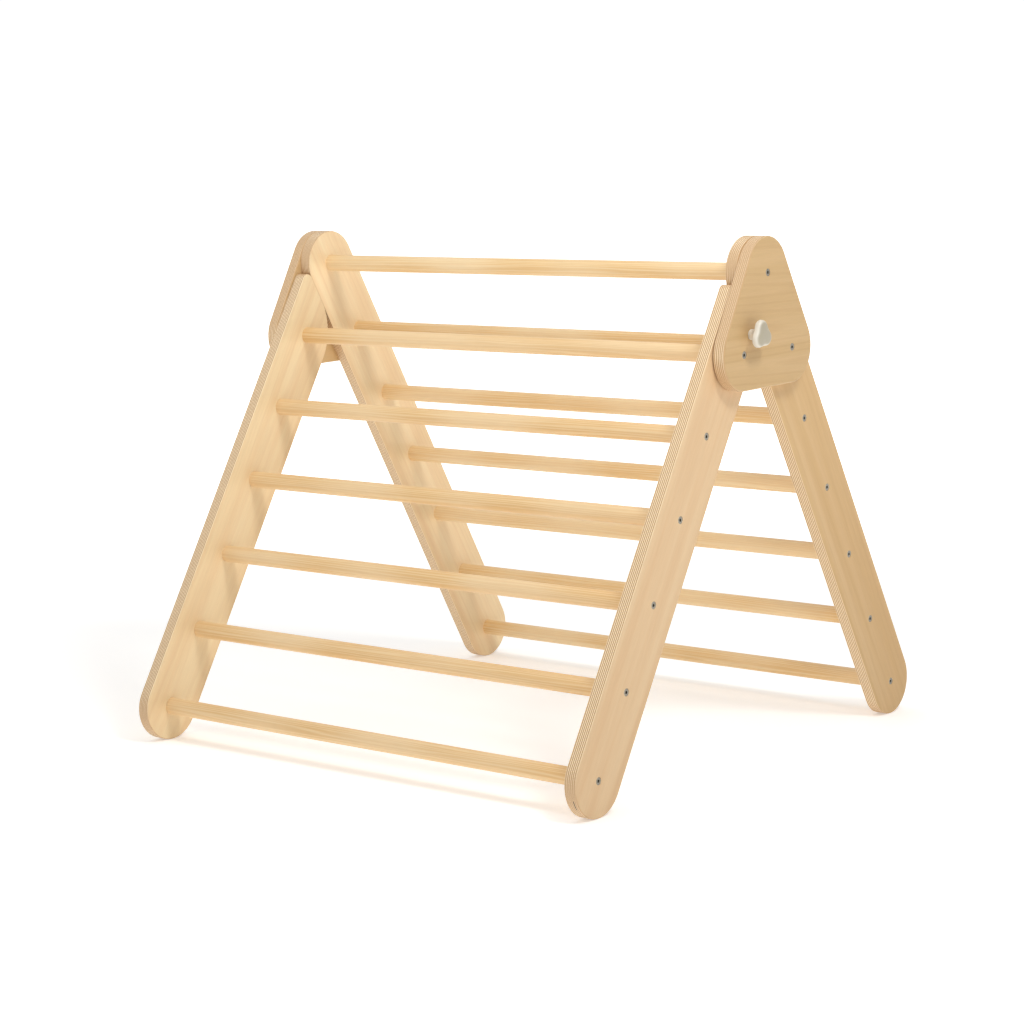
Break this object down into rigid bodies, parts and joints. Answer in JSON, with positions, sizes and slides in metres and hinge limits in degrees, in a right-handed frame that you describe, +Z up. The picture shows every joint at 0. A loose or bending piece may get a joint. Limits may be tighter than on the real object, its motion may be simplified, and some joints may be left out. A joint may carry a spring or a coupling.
{
  "type": "folding climbing triangle",
  "caption": "Wooden folding climbing triangle: two dowel ladders of birch plywood hinged under side plates, with a clamping knob on each side.",
  "frame": {"origin": "on the floor, midway between the front and back feet and midway between the sides", "axes": "+X along the rungs to the right-hand side, +Y from the front ladder to the back ladder, +Z up"},
  "size_m": [0.8682, 0.8252, 0.7186],
  "materials": {
    "rail_ply": "oiled birch plywood",
    "side_plate_ply": "oiled birch plywood",
    "dowel_wood": "oiled hardwood dowel",
    "zinc_screws": "zinc plated",
    "zinc_stud": "zinc plated",
    "brass_insert": "turned brass",
    "nylon_washer": "natural nylon",
    "knob_plastic": "moulded, satin"
  },
  "bodies": {
    "back_ladder": {"back_left_rail": "rail_ply", "back_right_rail": "rail_ply", "left_side_plate": "side_plate_ply", "right_side_plate": "side_plate_ply", "back_rung_1": "dowel_wood", "back_rung_2": "dowel_wood", "back_rung_3": "dowel_wood", "back_rung_4": "dowel_wood", "back_rung_5": "dowel_wood", "back_rung_6": "dowel_wood", "back_rung_7": "dowel_wood", "back_left_rung_screws": "zinc_screws", "back_right_rung_screws": "zinc_screws", "left_plate_screws": "zinc_screws", "right_plate_screws": "zinc_screws", "left_threaded_insert": "brass_insert", "right_threaded_insert": "brass_insert"},
    "front_ladder": {"front_left_rail": "rail_ply", "front_right_rail": "rail_ply", "front_rung_1": "dowel_wood", "front_rung_2": "dowel_wood", "front_rung_3": "dowel_wood", "front_rung_4": "dowel_wood", "front_rung_5": "dowel_wood", "front_rung_6": "dowel_wood", "front_left_rung_screws": "zinc_screws", "front_right_rung_screws": "zinc_screws", "left_pivot_screw": "zinc_screws", "right_pivot_screw": "zinc_screws", "left_pivot_washer": "nylon_washer", "right_pivot_washer": "nylon_washer"},
    "left_knob_slide": {"left_knob_washer": "nylon_washer"},
    "left_knob_turn": {"left_knob": "knob_plastic", "left_knob_stud": "zinc_stud"},
    "right_knob_slide": {"right_knob_washer": "nylon_washer"},
    "right_knob_turn": {"right_knob": "knob_plastic", "right_knob_stud": "zinc_stud"}
  },
  "joints": [
    {"name": "fold", "type": "hinge", "parent": "back_ladder", "child": "front_ladder", "pos_m": [0, -0.05691, 0.56388], "axis": [1, 0, 0], "range_deg": [0, 61]},
    {"name": "left_knob_travel", "type": "slide", "parent": "back_ladder", "child": "left_knob_slide", "axis": [-1, 0, 0], "range_m": [0, 0.0044]},
    {"name": "left_knob_turn", "type": "hinge", "parent": "left_knob_slide", "child": "left_knob_turn", "pos_m": [-0.417, -0.04129, 0.59007], "axis": [-1, 0, 0], "range_deg": [0, 1260]},
    {"name": "right_knob_travel", "type": "slide", "parent": "back_ladder", "child": "right_knob_slide", "axis": [1, 0, 0], "range_m": [0, 0.0044]},
    {"name": "right_knob_turn", "type": "hinge", "parent": "right_knob_slide", "child": "right_knob_turn", "pos_m": [0.417, -0.04129, 0.59007], "axis": [1, 0, 0], "range_deg": [0, 1260]}
  ],
  "couplings": [
    {"joint": "left_knob_travel", "follows": "left_knob_turn", "m_per_rad": 0.00019894},
    {"joint": "right_knob_travel", "follows": "right_knob_turn", "m_per_rad": 0.00019894}
  ]
}
